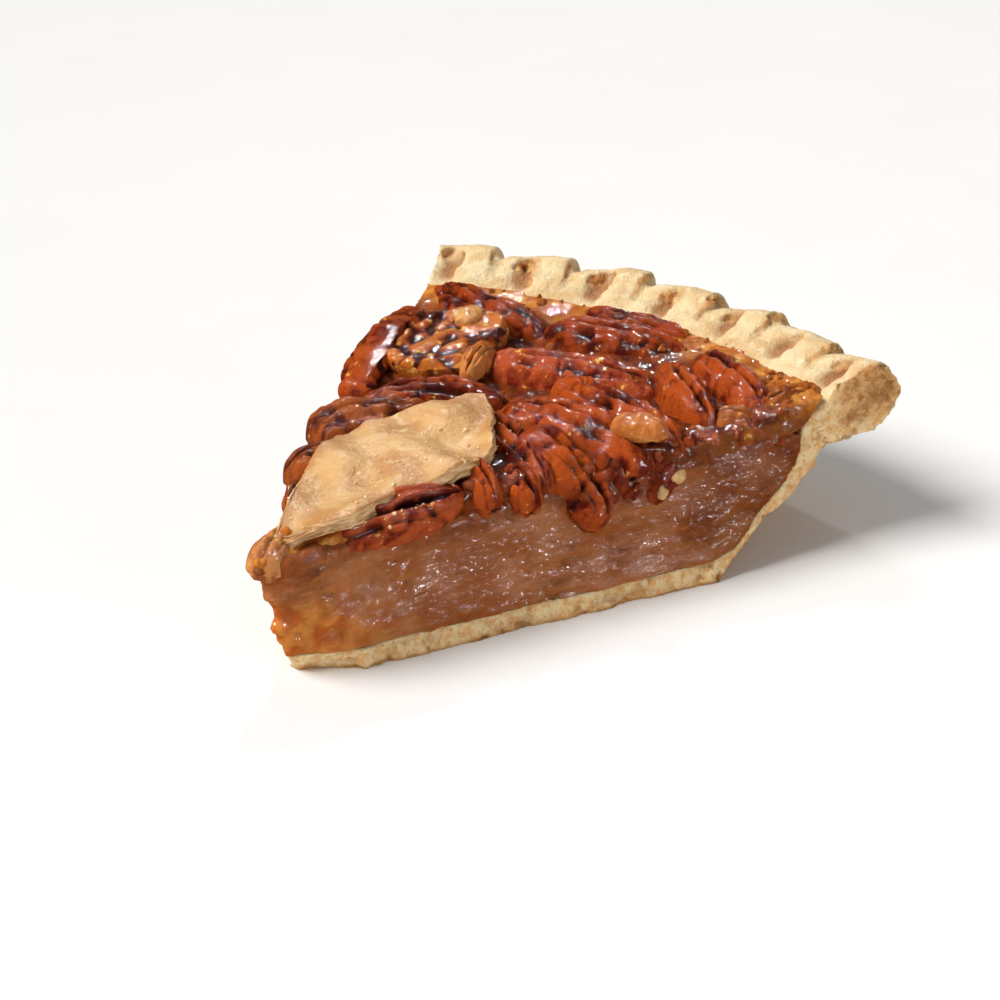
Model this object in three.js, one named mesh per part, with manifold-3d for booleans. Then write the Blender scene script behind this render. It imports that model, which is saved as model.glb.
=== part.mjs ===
// One slice of pecan pie: pastry case with a fluted rim, set custard, a syrup layer that holds the
// pecans, and a baked pastry leaf that lies on the pecans near the tip.
// Units are millimetres. The pie is laid out about its own axis, with +X from the axis out through
// the middle of the slice and +Z up; the group then moves it so that the origin is on the base.
import * as THREE from "three";
import { mergeVertices } from "three/addons/utils/BufferGeometryUtils.js";
import Module from "manifold-3d";

const wasm = await Module();
wasm.setup();

// Driving dimensions of the whole pie and of the cut.
const SLICE_DEG = 51.4;
const AXIS_TO_ORIGIN = 60;
const BASE_RADIUS = 85.5;
const FILL_RADIUS = 112;
const RIM_RADIUS = 126;
const RIM_TOP = 34.8;
const CRUST_FLOOR = 4;
const CUSTARD_TOP = 25.2;
const SYRUP_TOP = 27.4;
const SYRUP_RIM_RISE = 4;
const TIP_SAG = 1.6;
const GAP = 0.35;
const SLIVER = 0.12;

// The rim: flutes pinched all round, each a sloping ridge with a thumb dent beside it.
const FLUTES = 45;
const FLUTE_STEPS = 7;
const RIM_POINTS = 13;
const FLUTE_PHASE_DEG = 3.35;
const FLUTE_DRIFT_DEG = 0.9;
const FLUTE_RISE = 2.2;
const DENT_DEPTH = 3.2;

// The cut walls: uneven, with a tip that leans out over its base by the pairs [height, overhang].
// The near wall slopes out towards its foot and the far wall bulges.
const TIP_OVERHANG = [[0, 0], [5, 3.4], [12, 4.6], [17, 5.4], [20.5, 8.2], [24, 9.6], [28, 9.6]];
const TIP_REACH = 17;
const FAR_WALL_BULGE = 3;
const NEAR_WALL_LEAN = 4.6;
const WEDGE_REACH = 150;
const WALL_TOP = 48;

const radians = THREE.MathUtils.degToRad;
const HALF_ANGLE = radians(SLICE_DEG / 2);

// Smooth noise in about -1 to 1, the same on every run.
function hash(i, j, k) {
  const s = Math.sin(i * 127.1 + j * 311.7 + k * 74.7) * 43758.5453;
  return s - Math.floor(s);
}

function noise(x, y, z) {
  const base = [x, y, z].map(Math.floor);
  const part = [x, y, z].map((value, n) => value - base[n]);
  const ease = part.map((t) => t * t * (3 - 2 * t));
  let sum = 0;
  for (let corner = 0; corner < 8; corner++) {
    const bit = [corner & 1, (corner >> 1) & 1, corner >> 2];
    const weight = bit.reduce((w, b, n) => w * (b ? ease[n] : 1 - ease[n]), 1);
    sum += weight * hash(base[0] + bit[0], base[1] + bit[1], base[2] + bit[2]);
  }
  return 2 * sum - 1;
}

const bump = (x, centre, width) => Math.exp(-(((x - centre) / width) ** 2));
const fract = (x) => x - Math.floor(x);
const { smoothstep, mapLinear } = THREE.MathUtils;

// Value at x along a list of [x, value] pairs, level beyond its ends.
function along(pairs, x) {
  const next = pairs.findIndex(([at]) => at > x);
  if (next === 0) return pairs[0][1];
  if (next < 0) return pairs.at(-1)[1];
  return mapLinear(x, pairs[next - 1][0], pairs[next][0], pairs[next - 1][1], pairs[next][1]);
}

// Solids pass between three.js and manifold-3d as plain positions and triangles.
function solidOf(geometry) {
  const plain = new THREE.BufferGeometry();
  plain.setAttribute("position", geometry.getAttribute("position"));
  plain.setIndex(geometry.index);
  const merged = mergeVertices(plain, 1e-4);
  return new wasm.Manifold(
    new wasm.Mesh({
      numProp: 3,
      vertProperties: merged.attributes.position.array,
      triVerts: new Uint32Array(merged.index.array),
    }),
  );
}

function geometryOf(solid) {
  const { vertProperties, triVerts } = solid.getMesh();
  const geometry = new THREE.BufferGeometry();
  geometry.setAttribute("position", new THREE.BufferAttribute(vertProperties, 3));
  geometry.setIndex(new THREE.BufferAttribute(triVerts, 1));
  geometry.computeVertexNormals();
  return geometry;
}

// The main body of what a cut leaves, with slivers below the tolerance smoothed away.
function mainBody(solid) {
  const pieces = solid.simplify(SLIVER).decompose();
  return pieces.reduce((best, piece) => (piece.volume() > best.volume() ? piece : best));
}

// A closed surface through rings of equally many points, with a point closing each end.
function ringSolid(rings, first, last) {
  const count = rings[0].length;
  const points = [...rings.flat(), first, last];
  const faces = [];
  for (let n = 0; n < count; n++) {
    const next = (n + 1) % count;
    for (let ring = 0; ring + 1 < rings.length; ring++) {
      const [a, b] = [ring * count + n, ring * count + next];
      faces.push(a, b, b + count, a, b + count, a + count);
    }
    const end = (rings.length - 1) * count;
    faces.push(points.length - 2, next, n);
    faces.push(points.length - 1, end + n, end + next);
  }
  const geometry = new THREE.BufferGeometry().setFromPoints(points);
  geometry.setIndex(faces);
  const solid = solidOf(geometry);
  if (solid.volume() > 0) return solid;
  geometry.setIndex(faces.reverse());
  return solidOf(geometry);
}

// A solid of revolution whose points are then moved by shape(radius, angle, height).
function turned(profile, segments, shape) {
  const lathe = new THREE.LatheGeometry(profile.map(([r, z]) => new THREE.Vector2(r, z)), segments);
  lathe.rotateX(Math.PI / 2);
  const position = lathe.getAttribute("position");
  for (let n = 0; n < position.count; n++) {
    const angle = Math.atan2(position.getY(n), position.getX(n));
    const radius = Math.hypot(position.getX(n), position.getY(n));
    const [r, z] = radius < 1e-6 ? [0, position.getZ(n)] : shape(radius, angle, position.getZ(n));
    position.setXYZ(n, r * Math.cos(angle), r * Math.sin(angle), z);
  }
  const solid = solidOf(lathe);
  if (solid.volume() > 0) return solid;
  lathe.setIndex([...lathe.index.array].reverse());
  return solidOf(lathe);
}

// The wedge that the knife leaves: level outlines stacked up, with uneven walls.
function wedge({ relief, reliefScale, tipStart, step, levelStep, grow = 0 }) {
  const rings = [];
  for (let z = 0.35 - levelStep; z < WALL_TOP; z += levelStep) {
    const overhang = along(TIP_OVERHANG, z);
    const wall = (r, side) => {
      const angle = side * HALF_ANGLE;
      const bulge = FAR_WALL_BULGE * smoothstep(r, 0, 26) * (1 - smoothstep(r, 84, 108));
      const slope = Math.max(0, 1 - z / CUSTARD_TOP);
      const lean = NEAR_WALL_LEAN * slope * smoothstep(r, 1, 14) * (1 - smoothstep(r, 92, 118));
      const uneven = relief * noise(r / reliefScale, z / reliefScale, 10 * side + 40);
      const offset = uneven + grow + (side > 0 ? bulge : lean);
      const pull = overhang * bump(r, 0, TIP_REACH) + grow;
      return new THREE.Vector3(
        r * Math.cos(angle) - offset * Math.sin(HALF_ANGLE) - pull,
        r * Math.sin(angle) + side * offset * Math.cos(HALF_ANGLE),
        z,
      );
    };
    const steps = Math.ceil((WEDGE_REACH - tipStart) / step);
    const outline = [];
    for (let n = steps; n >= 0; n--) outline.push(wall(tipStart + n * step, -1));
    for (let n = 0; n <= steps; n++) outline.push(wall(tipStart + n * step, 1));
    rings.push(outline);
  }
  const centre = (ring) => new THREE.Vector3(WEDGE_REACH / 2, 0, ring[0].z);
  return ringSolid(rings, centre(rings[0]), centre(rings.at(-1)));
}

// Inner wall of the case as [height, radius], from its floor up to the rim.
const INNER_WALL = [
  [CRUST_FLOOR, BASE_RADIUS - 1.5],
  [CRUST_FLOOR + 1.4, BASE_RADIUS + 3.3],
  [14.4, FILL_RADIUS - 13.1],
  [17.5, FILL_RADIUS - 9],
  [20.6, FILL_RADIUS - 7.1],
  [25.4, FILL_RADIUS - 6.6],
  [31.2, FILL_RADIUS - 0.2],
];

// Pastry case: flat floor, sloping wall and rolled rim in one closed profile.
function crustProfile() {
  const rim = new THREE.SplineCurve([
    new THREE.Vector2(FILL_RADIUS - 2.6, 20.6),
    new THREE.Vector2(FILL_RADIUS + 4, 21.2),
    new THREE.Vector2(RIM_RADIUS - 4, 21.8),
    new THREE.Vector2(RIM_RADIUS - 0.4, 24.8),
    new THREE.Vector2(RIM_RADIUS, 28.8),
    new THREE.Vector2(RIM_RADIUS - 2.6, RIM_TOP - 1.4),
    new THREE.Vector2(RIM_RADIUS - 6.4, RIM_TOP),
    new THREE.Vector2(RIM_RADIUS - 10, RIM_TOP - 1.6),
    new THREE.Vector2(FILL_RADIUS + 1.6, 32.6),
    new THREE.Vector2(FILL_RADIUS - 0.2, 31.2),
  ]).getPoints(RIM_POINTS);
  return [
    [0, 0],
    [BASE_RADIUS, 0],
    [BASE_RADIUS + 4.5, 4.4],
    [BASE_RADIUS + 10.9, 9.7],
    [FILL_RADIUS - 7.2, 13.6],
    [FILL_RADIUS - 3.8, 17],
    ...rim.map((p) => [p.x, p.y]),
    ...INNER_WALL.slice(0, -1).reverse().map(([z, r]) => [r, z]),
    [0, CRUST_FLOOR],
  ];
}

// Flutes act on the rim only, and fade in above the wall. Each rises evenly to one side and drops
// off, with a thumb dent in the face towards the filling. They crowd a little to the near side.
function flutedRim(r, angle, z) {
  const drift = radians(FLUTE_PHASE_DEG + FLUTE_DRIFT_DEG * smoothstep(-angle, radians(4), radians(14)));
  const phase = 1 - fract(((angle - drift) / (2 * Math.PI)) * FLUTES);
  const onRim = smoothstep(z, 22, 29) * smoothstep(r, FILL_RADIUS, FILL_RADIUS + 6);
  const innerFace = bump(r, FILL_RADIUS + 3.6, 3.4) * smoothstep(z, 30.6, 32.6);
  const knob = (0.25 + 0.75 * phase) * smoothstep(phase, 0, 0.12) * (1 - smoothstep(phase, 0.9, 1)) - 0.55;
  const dent = smoothstep(phase, 0.14, 0.42) * (1 - smoothstep(phase, 0.5, 0.64));
  const ridge = bump(phase, 0.76, 0.13);
  const wobble = noise(angle * 9, z / 9, 3);
  return [
    r + onRim * (0.8 * FLUTE_RISE * knob + 0.9 * wobble) + innerFace * (DENT_DEPTH * dent - 0.8 * ridge),
    z + onRim * (1.3 * FLUTE_RISE * knob + 0.5 * wobble) - 0.4 * innerFace * DENT_DEPTH * dent,
  ];
}

// Height of the level between custard and syrup, and of the syrup's own top. Both sag to the tip.
const tipSag = (r) => TIP_SAG * (1 - smoothstep(r, 8, 46));
const custardTop = (x, y) => CUSTARD_TOP - tipSag(Math.hypot(x, y)) + 0.35 * noise(x / 13, y / 13, 7);

function syrupTop(x, y) {
  const r = Math.hypot(x, y);
  const rise = SYRUP_RIM_RISE * smoothstep(r, 86, FILL_RADIUS);
  return SYRUP_TOP + rise - tipSag(r) + 0.8 * noise(x / 8, y / 8, 21);
}

const TOP_RINGS = [10, 21, 32, 43, 54, 65, 76, 87, 98];
const FILL_SEGMENTS = 60;

function fillWall(z) {
  return along(INNER_WALL, z) - GAP;
}

// Points up the fillings' outside, at the heights where the inner wall turns and a top height.
function fillSide(top) {
  return [5.4, 14.4, 17.5, 20.6, top].map((z) => [fillWall(z), z]);
}

const ROOM = [[0, 5.4], ...fillSide(25.4), [fillWall(29), 29], [fillWall(29), 45], [0, 45]];
const CRUST_WEDGE = { relief: 0.5, reliefScale: 2.6, tipStart: 1.2, step: 3.4, levelStep: 2 };
const CUSTARD_WEDGE = { relief: 0.55, reliefScale: 9, tipStart: 0.9, step: 6, levelStep: 3.8 };

function custard(grow = 0) {
  const rimHeight = CUSTARD_TOP + grow;
  const profile = [
    [0, CRUST_FLOOR + GAP],
    [fillWall(CRUST_FLOOR), CRUST_FLOOR + GAP],
    ...fillSide(24.4),
    ...TOP_RINGS.map((r) => [r, rimHeight]).reverse(),
    [0, rimHeight],
  ];
  const body = turned(profile, FILL_SEGMENTS, (r, angle, z) =>
    z < CUSTARD_TOP - 0.2 ? [r, z] : [r, grow + custardTop(r * Math.cos(angle), r * Math.sin(angle))],
  );
  return body.intersect(wedge({ ...CUSTARD_WEDGE, grow }));
}

function syrup(grow = 0) {
  const above = SYRUP_TOP + 1;
  const profile = [
    [0, CUSTARD_TOP],
    ...TOP_RINGS.map((r) => [r, CUSTARD_TOP]),
    [fillWall(26), 26.3],
    [fillWall(29.6), above],
    ...TOP_RINGS.map((r) => [r, above]).reverse(),
    [0, above],
  ];
  const body = turned(profile, FILL_SEGMENTS, (r, angle, z) => {
    const [x, y] = [r * Math.cos(angle), r * Math.sin(angle)];
    if (z > SYRUP_TOP) return [r, syrupTop(x, y) + grow];
    if (z < CUSTARD_TOP + 0.2) return [r, custardTop(x, y) + GAP - grow];
    return [r, z];
  });
  return body.intersect(wedge({ ...CUSTARD_WEDGE, grow }));
}

// Half a pecan kernel, flat side down on z = 0 and long axis on X: two lobes each side of a deep
// middle groove, a shallower groove on each lobe, and crinkled flanks.
const SHOULDERS = [1, 0.84, 0.55, 0.28, 0, -0.28, -0.55, -0.84, -1];
const UNDERSIDE = [-0.7, -0.3, 0.3, 0.7];
const KERNEL_RINGS = 9;

function kernel([length, width, height], seed, grow = 0) {
  const [half, side, crown] = [length / 2 + grow, width / 2 + grow, height + grow];
  const rings = [];
  for (let n = 1; n < KERNEL_RINGS; n++) {
    const t = -Math.cos((Math.PI * n) / KERNEL_RINGS);
    const taper = Math.sqrt(1 - Math.abs(t) ** 2.5) * (1 - 0.16 * Math.max(0, t) ** 2);
    const bend = 0.07 * width * Math.sin(2.4 * t + seed);
    const ring = SHOULDERS.map((across) => {
      const crinkle = 1 + 0.09 * noise(t * 4 + seed * 3.1, across * 2.2, seed);
      const groove = 0.3 * bump(across, 0, 0.16) + 0.13 * bump(Math.abs(across), 0.55, 0.14);
      const dome = Math.sqrt(Math.max(0, 1 - Math.abs(across) ** 2.3));
      return new THREE.Vector3(
        half * t,
        side * taper * across * crinkle + bend,
        crown * taper ** 0.8 * dome * (1 - groove) * crinkle,
      );
    });
    for (const across of UNDERSIDE) {
      ring.push(new THREE.Vector3(half * t, side * taper * across + bend, -grow - 0.12 * height * taper));
    }
    rings.push(ring);
  }
  const pole = (t) => new THREE.Vector3(half * t, 0.07 * width * Math.sin(2.4 * t + seed), crown * 0.12);
  return ringSolid(rings, pole(-1), pole(1));
}

// Where each kernel lies: at is the middle of its flat side, size its length, width and height, and
// turn its yaw, pitch and roll in degrees. A set kernel is let into the custard and syrup round it.
// Where two meet, the earlier one in the list keeps its shape.
const KERNELS = [
  { name: "edge_hanging", at: [52.6, -20.4, 23.4], turn: [-86, 46, 0], size: [23, 10.5, 6.8], set: true },
  { name: "oval_tip", at: [66.1, -28.3, 30.4], turn: [-72, 0, 0], size: [11, 6.6, 3.6] },
  { name: "centre_crown", at: [63, -16.4, 25.8], turn: [-84, 5, 0], size: [33, 13.5, 6.8] },
  { name: "centre_long", at: [82.2, -1.4, 26.6], turn: [-70, 0, 0], size: [37, 14, 6.6] },
  { name: "centre_right", at: [73.6, -17.4, 26.2], turn: [-98, 1, 0], size: [33, 11.5, 7] },
  { name: "gloss_left", at: [87.3, -24.6, 26.8], turn: [-128, 0, 0], size: [24, 10, 6.6] },
  { name: "gloss_right", at: [96.6, -28.4, 27.2], turn: [-122, 0, 0], size: [27, 11, 6.6] },
  { name: "corner_amber", at: [97.4, -42, 27.2], turn: [-24, 0, 0], size: [16, 8, 5], set: true },
  { name: "corner_lump", at: [85.4, -36.4, 25.4], turn: [-60, 4, 10], size: [10, 8, 5.4], set: true },
  { name: "flat_side_up", at: [76.6, 25, 32.2], turn: [-8, -2, 182], size: [29.5, 20, 6] },
  { name: "far_edge_red", at: [71, 33.6, 27], turn: [19, 0, -78], size: [38, 14, 7.5] },
  { name: "rim_far", at: [97, 30.4, 27.6], turn: [-98, 0, 0], size: [32, 11.5, 6.4] },
  { name: "rim_middle", at: [99.6, 0.6, 27.2], turn: [-80, 0, 0], size: [32, 11.5, 6.4] },
  { name: "rim_dark", at: [106.8, 0.4, 29.2], turn: [-91, 0, 0], size: [26, 6.5, 4.4] },
  { name: "sliver_pale", at: [73, 14.4, 30], turn: [14, 0, 0], size: [14, 5, 3.6] },
  { name: "left_upper", at: [58.6, 12.2, 26.6], turn: [-56, 0, 0], size: [27, 10.5, 6.4] },
  { name: "left_middle", at: [44.2, 16.8, 25.8], turn: [-34, 0, 0], size: [26, 14, 6.6] },
  { name: "left_lower", at: [30.4, 12.8, 24], turn: [-28, 0, -8], size: [23, 11, 6.6] },
  { name: "left_edge", at: [20.6, 10.6, 22], turn: [22, 0, -40], size: [19, 11, 6.4] },
  { name: "beside_leaf", at: [50.6, -11.4, 25.6], turn: [-119, 3, 0], size: [26, 9.5, 6.4] },
  { name: "under_leaf", at: [37.4, -10, 24.4], turn: [-106, 0, 0], size: [19, 9, 6.6] },
  { name: "small_red", at: [42.6, -18.4, 23.6], turn: [-100, 8, 10], size: [10, 8, 6], set: true },
  { name: "face_long", at: [18.6, -7, 24.6], turn: [-25.7, -10, 40], size: [30, 10, 5.8], set: true },
  { name: "tip_caramel", at: [-3.2, 1.6, 22.6], turn: [30, 0, 8], size: [10.5, 7.6, 5.6], set: true },
  { name: "face_embedded", at: [4.85, -1.25, 14.6], turn: [-27, 11, 90], size: [18, 8.4, 3], set: true },
  { name: "face_cut_pale", at: [67.7, -32, 20.6], turn: [-25.7, -45, 90], size: [9.5, 5.4, 2.4], set: true },
];

function placed(solidGeometry, { at, turn }) {
  const [yaw, pitch, roll] = turn.map(radians);
  const matrix = new THREE.Matrix4().makeRotationFromEuler(new THREE.Euler(roll, pitch, yaw, "ZYX"));
  matrix.setPosition(...at);
  return solidOf(solidGeometry.applyMatrix4(matrix));
}

const kernelAt = (spec, seed, grow = 0) => placed(geometryOf(kernel(spec.size, seed, grow)), spec);

// Pastry leaf: a thin wavy slab inside an uneven outline that steps in and out like baked layers.
const LEAF_OUTLINE = [
  [-2.8, 0.8], [-1.6, -2.4], [3.2, -5.8], [8, -7.8], [15.4, -7.6], [21, -8.4], [28.4, -12.2],
  [36, -13.4], [42.2, -12.4], [53.2, -3.9], [55.4, -0.6], [53.4, 2], [49, 3.2], [48, 5.8],
  [44.4, 6.2], [38.6, 9.4], [35.4, 11.6], [26.8, 11.8], [18, 10.2], [6, 4.8],
];
const LEAF_THICKNESS = 3;
const LEAF_LAYERS = [[-3, 0], [0.5, 0], [1.3, 0.5], [1.9, -0.3], [2.5, 0.3], [6, -0.4]];
const LEAF_CELLS = [11, 6];

function leafTop(x, y) {
  const rise = 29.4 + 0.1 * x + 0.06 * y;
  return rise + 1.2 * noise(x / 8 + 2, y / 6, 5) + 0.4 * Math.sin(x / 3.1 + y / 8);
}

function pastryLeaf() {
  const middle = new THREE.Vector3(25, -0.5, 0);
  const layer = ([drop, outset]) => LEAF_OUTLINE.map(([x, y]) => {
    const point = new THREE.Vector3(x, y, 0);
    point.add(point.clone().sub(middle).setLength(outset));
    return point.setZ(leafTop(x, y) - drop);
  });
  const rings = LEAF_LAYERS.map(layer);
  const prism = ringSolid(rings, middle.clone().setZ(40), middle.clone().setZ(20));
  const slab = new THREE.BoxGeometry(62, 30, LEAF_THICKNESS, ...LEAF_CELLS, 1);
  slab.translate(25, -0.5, -LEAF_THICKNESS / 2);
  const position = slab.getAttribute("position");
  for (let n = 0; n < position.count; n++) {
    position.setZ(n, position.getZ(n) + leafTop(position.getX(n), position.getY(n)));
  }
  return solidOf(slab).intersect(prism);
}

// Assembly: set kernels are let in first, the rest are trimmed where they dip into the syrup.
const kernels = KERNELS.map((spec, n) => {
  const grown = kernelAt(spec, n, GAP).hull().simplify(GAP / 2);
  return { ...spec, body: kernelAt(spec, n), grown };
});
const caseSolid = turned(crustProfile(), FLUTES * FLUTE_STEPS, flutedRim)
  .intersect(wedge(CRUST_WEDGE));

let custardSolid = custard();
let syrupSolid = syrup();
for (const { set, grown } of kernels) {
  if (!set) continue;
  custardSolid = custardSolid.subtract(grown);
  syrupSolid = syrupSolid.subtract(grown);
}
const bed = custard(GAP).add(syrup(GAP));
const room = turned(ROOM, FILL_SEGMENTS, (r, angle, z) => [r, z]);
kernels.forEach((one, n) => {
  one.body = one.body.intersect(room);
  if (!one.set) one.body = one.body.subtract(bed);
  for (const earlier of kernels.slice(0, n)) one.body = one.body.subtract(earlier.grown);
  one.body = mainBody(one.body);
});
let leafSolid = pastryLeaf().subtract(bed);
for (const { grown } of kernels) leafSolid = leafSolid.subtract(grown);

const PASTRY = { color: 0xdcbb86, roughness: 0.85, metalness: 0 };
const LEAF_PASTRY = { color: 0xdba963, roughness: 0.7, metalness: 0 };
const CUSTARD = { color: 0x8f6337, roughness: 0.3, metalness: 0 };
const SYRUP = { color: 0x7a3a12, roughness: 0.15, metalness: 0 };
const KERNEL = { color: 0x93421a, roughness: 0.25, metalness: 0 };

const slice = new THREE.Group();
slice.position.x = -AXIS_TO_ORIGIN;

function addPart(name, solid, finish) {
  const mesh = new THREE.Mesh(geometryOf(solid), new THREE.MeshStandardMaterial(finish));
  mesh.name = name;
  slice.add(mesh);
}

addPart("crust", mainBody(caseSolid), PASTRY);
addPart("custard", mainBody(custardSolid), CUSTARD);
addPart("syrup", mainBody(syrupSolid), SYRUP);
addPart("pastry_leaf", mainBody(leafSolid), LEAF_PASTRY);
for (const { name, body } of kernels) addPart(`pecan_${name}`, body, KERNEL);

export default slice;
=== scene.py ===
import math

import bpy
import numpy as np
from mathutils import Euler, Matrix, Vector
from mathutils.bvhtree import BVHTree


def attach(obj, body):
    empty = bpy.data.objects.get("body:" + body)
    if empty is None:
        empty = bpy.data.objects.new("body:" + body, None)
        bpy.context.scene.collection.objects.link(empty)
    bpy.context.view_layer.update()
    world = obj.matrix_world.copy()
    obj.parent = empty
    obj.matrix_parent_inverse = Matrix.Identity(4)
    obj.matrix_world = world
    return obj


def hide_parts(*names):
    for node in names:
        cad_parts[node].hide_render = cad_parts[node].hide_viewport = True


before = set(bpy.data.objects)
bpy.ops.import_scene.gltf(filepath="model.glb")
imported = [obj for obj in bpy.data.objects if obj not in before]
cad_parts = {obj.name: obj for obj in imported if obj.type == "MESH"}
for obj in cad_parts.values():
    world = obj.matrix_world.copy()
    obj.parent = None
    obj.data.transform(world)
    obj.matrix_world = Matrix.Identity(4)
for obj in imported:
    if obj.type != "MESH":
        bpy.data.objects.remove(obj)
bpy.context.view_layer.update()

MM = 0.001
AXIS_TO_ORIGIN = 60
HALF_ANGLE_DEG = 25.7
HALF_ANGLE = math.radians(HALF_ANGLE_DEG)
BASE_RADIUS = 85.5
FILL_RADIUS = 112
RIM_RADIUS = 126
RIM_TOP = 34.8
CRUST_FLOOR = 4
CUSTARD_TOP = 25.2
SYRUP_TOP = 27.4
SYRUP_RIM_RISE = 4
TIP_SAG = 1.6
FLUTES = 45
FLUTE_PHASE_DEG = 3.35
FLUTE_DRIFT_DEG = 0.9
FLUTE_RISE = 2.2
DENT_DEPTH = 3.2
FAR_END_OUT = 1.5
FAR_END_UP = 0.9
RIM_STEPS = 60
CUSTARD_FOOT = CRUST_FLOOR - 0.3
FILL_OVERLAP = 0.15  # how far the fillings go into the crust's wall

# The knife's cuts. TIP_OVERHANG is how far the tip hangs out at each height.
TIP_OVERHANG = [(0, 0.6), (5, 3.4), (12, 4.6), (17, 5.4), (20.5, 8.2), (24, 9.6), (28, 9.6)]
TIP_REACH = 17
FAR_WALL_BULGE = 3
NEAR_WALL_LEAN = 4.6
KNIFE_REACH = 150
KNIFE_FOOT = -1.15
KNIFE_TOP = 48
KNIFE_STEP = 1.5

# Size in mm that each cut piece's mesh is evened out to.
CRUST_VOXEL = 0.56
CUSTARD_VOXEL = 0.5
SYRUP_VOXEL = 0.52


# ---- numbers ----

def hash3(i, j, k):
    """A number from 0 to 1 that looks random and is always the same for the same i, j and k."""
    s = np.sin(i * 127.1 + j * 311.7 + k * 74.7) * 43758.5453
    return s - np.floor(s)


def noise(x, y, z):
    """Smooth noise in about -1 to 1."""
    axes = np.broadcast_arrays(*(np.asarray(v, float) for v in (x, y, z)))
    base = [np.floor(v) for v in axes]
    ease = [(v - b) ** 2 * (3 - 2 * (v - b)) for v, b in zip(axes, base)]
    total = 0
    for corner in range(8):
        bits = (corner & 1, (corner >> 1) & 1, corner >> 2)
        weight = 1
        for bit, e in zip(bits, ease):
            weight = weight * (e if bit else 1 - e)
        total = total + weight * hash3(*(b + bit for b, bit in zip(base, bits)))
    return 2 * total - 1


def layered(points, size, seed, octaves):
    """Noise at points whose largest lumps are about size across, each octave half the last."""
    scaled = points / np.asarray(size, float)
    total, weight = 0, 1
    for octave in range(octaves):
        x, y, z = (scaled * 2 ** octave).T
        total = total + weight * noise(x + 17.3 * octave, y + 5.1 * seed, z + seed)
        weight *= 0.5
    return total


def creased(x, y, seed):
    """Rounded lumps parted by sharp creases, 0 in a crease and up to about 1."""
    return np.minimum(1, 1.9 * np.abs(noise(x, y, seed) + 0.35 * noise(2.3 * x, 2.3 * y, seed + 50)))


def bump(x, centre, width):
    return np.exp(-(((x - centre) / width) ** 2))


def smoothstep(x, low, high):
    t = np.clip((x - low) / (high - low), 0, 1)
    return t * t * (3 - 2 * t)


def along(pairs, x):
    """Value at x along a list of (x, value) pairs, level beyond its ends."""
    return np.interp(x, [p[0] for p in pairs], [p[1] for p in pairs])


def polar(points):
    return np.hypot(points[:, 0], points[:, 1]), np.arctan2(points[:, 1], points[:, 0])


# ---- meshes ----

def make_piece(name, points, faces):
    mesh = bpy.data.meshes.new(name)
    moved = (np.asarray(points, float) - (AXIS_TO_ORIGIN, 0, 0)) * MM
    mesh.from_pydata(moved.tolist(), [], faces)
    mesh.update()
    piece = bpy.data.objects.new(name, mesh)
    bpy.context.scene.collection.objects.link(piece)
    return piece


def read_points(piece):
    flat = np.empty(len(piece.data.vertices) * 3)
    piece.data.vertices.foreach_get("co", flat)
    return flat.reshape(-1, 3) / MM + (AXIS_TO_ORIGIN, 0, 0)


def write_points(piece, points):
    moved = (points - (AXIS_TO_ORIGIN, 0, 0)) * MM
    piece.data.vertices.foreach_set("co", moved.ravel())
    piece.data.update()


def read_normals(piece):
    flat = np.empty(len(piece.data.vertices) * 3)
    piece.data.vertex_normals.foreach_get("vector", flat)
    return flat.reshape(-1, 3)


def write_attributes(piece, **attributes):
    """Stores one number a point under each name, for the materials."""
    for name, values in attributes.items():
        attribute = piece.data.attributes.new(name, "FLOAT", "POINT")
        attribute.data.foreach_set("value", np.asarray(values, float))


def apply_modifier(piece, kind, **settings):
    modifier = piece.modifiers.new(kind, kind)
    for key, value in settings.items():
        setattr(modifier, key, value)
    evaluated = piece.evaluated_get(bpy.context.evaluated_depsgraph_get())
    mesh = bpy.data.meshes.new_from_object(evaluated)
    piece.modifiers.clear()
    old, piece.data = piece.data, mesh
    bpy.data.meshes.remove(old)


def cut_to(piece, cutter, voxel):
    """Keeps what lies inside the cutter, and evens the mesh out to one voxel size in mm."""
    apply_modifier(piece, "BOOLEAN", object=cutter, operation="INTERSECT", solver="MANIFOLD")
    bpy.data.objects.remove(cutter)
    apply_modifier(piece, "REMESH", mode="VOXEL", voxel_size=voxel * MM, use_smooth_shade=True)


def ring_faces(ring_count, count):
    """Faces of a tube through rings of count points, closed by a point at each end."""
    n = np.arange(count)
    after = (n + 1) % count
    faces = []
    for start in range(0, (ring_count - 1) * count, count):
        around = [start + n, start + after, start + after + count, start + n + count]
        faces += np.stack(around, 1).tolist()
    end = (ring_count - 1) * count
    first, last = ring_count * count, ring_count * count + 1
    faces += [[first, b, a] for a, b in zip(n.tolist(), after.tolist())]
    faces += [[last, end + a, end + b] for a, b in zip(n.tolist(), after.tolist())]
    return faces


def ring_piece(name, rings, first, last):
    """A closed surface through rings of equally many points, facing outward."""
    rings = np.asarray(rings, float)
    points = np.concatenate([rings.reshape(-1, 3), [first, last]])
    faces = ring_faces(*rings.shape[:2])
    middle = points - points.mean(0)
    volume = 0.0
    for corners in (4, 3):
        block = np.array([f for f in faces if len(f) == corners])
        for k in range(1, corners - 1):
            a, b, c = middle[block[:, 0]], middle[block[:, k]], middle[block[:, k + 1]]
            volume += np.einsum("ij,ij->i", a, np.cross(b, c)).sum()
    if volume < 0:
        faces = [f[::-1] for f in faces]
    return make_piece(name, points, faces)


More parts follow.
